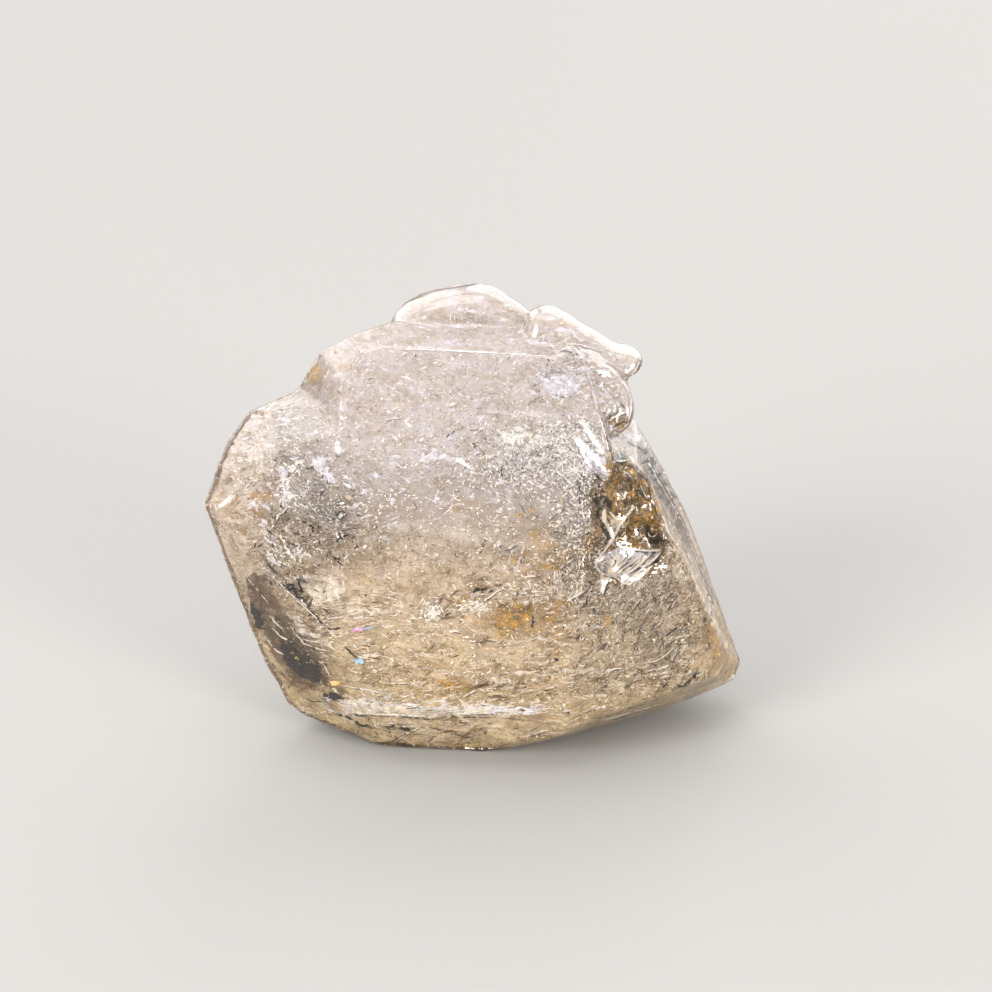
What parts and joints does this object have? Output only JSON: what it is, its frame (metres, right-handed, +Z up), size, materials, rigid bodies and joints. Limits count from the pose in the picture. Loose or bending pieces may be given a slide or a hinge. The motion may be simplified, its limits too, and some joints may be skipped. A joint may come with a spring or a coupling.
{
  "type": "skeletal quartz crystal",
  "caption": "Clear skeletal quartz crystal, a thick shield-shaped body with a stacked growth stage, rounded lips and a rough pit, resting on a small flat spot.",
  "frame": {"origin": "middle of the crystal's footprint box, on the surface it rests on", "axes": "+X to the crystal's low right tip, along its width; +Y from the front face to the back, along its thickness; +Z up"},
  "size_m": [0.0484, 0.0276, 0.0386],
  "materials": {
    "clear_quartz": "natural crystal faces, glassy with fine growth relief, faintly honey-coloured inside",
    "healed_fractures": "thin reflecting films and flakes inside the crystal",
    "iron_stain": "earthy iron oxide, matte"
  },
  "bodies": {
    "root": {"quartz_crystal": "clear_quartz"}
  },
  "joints": []
}
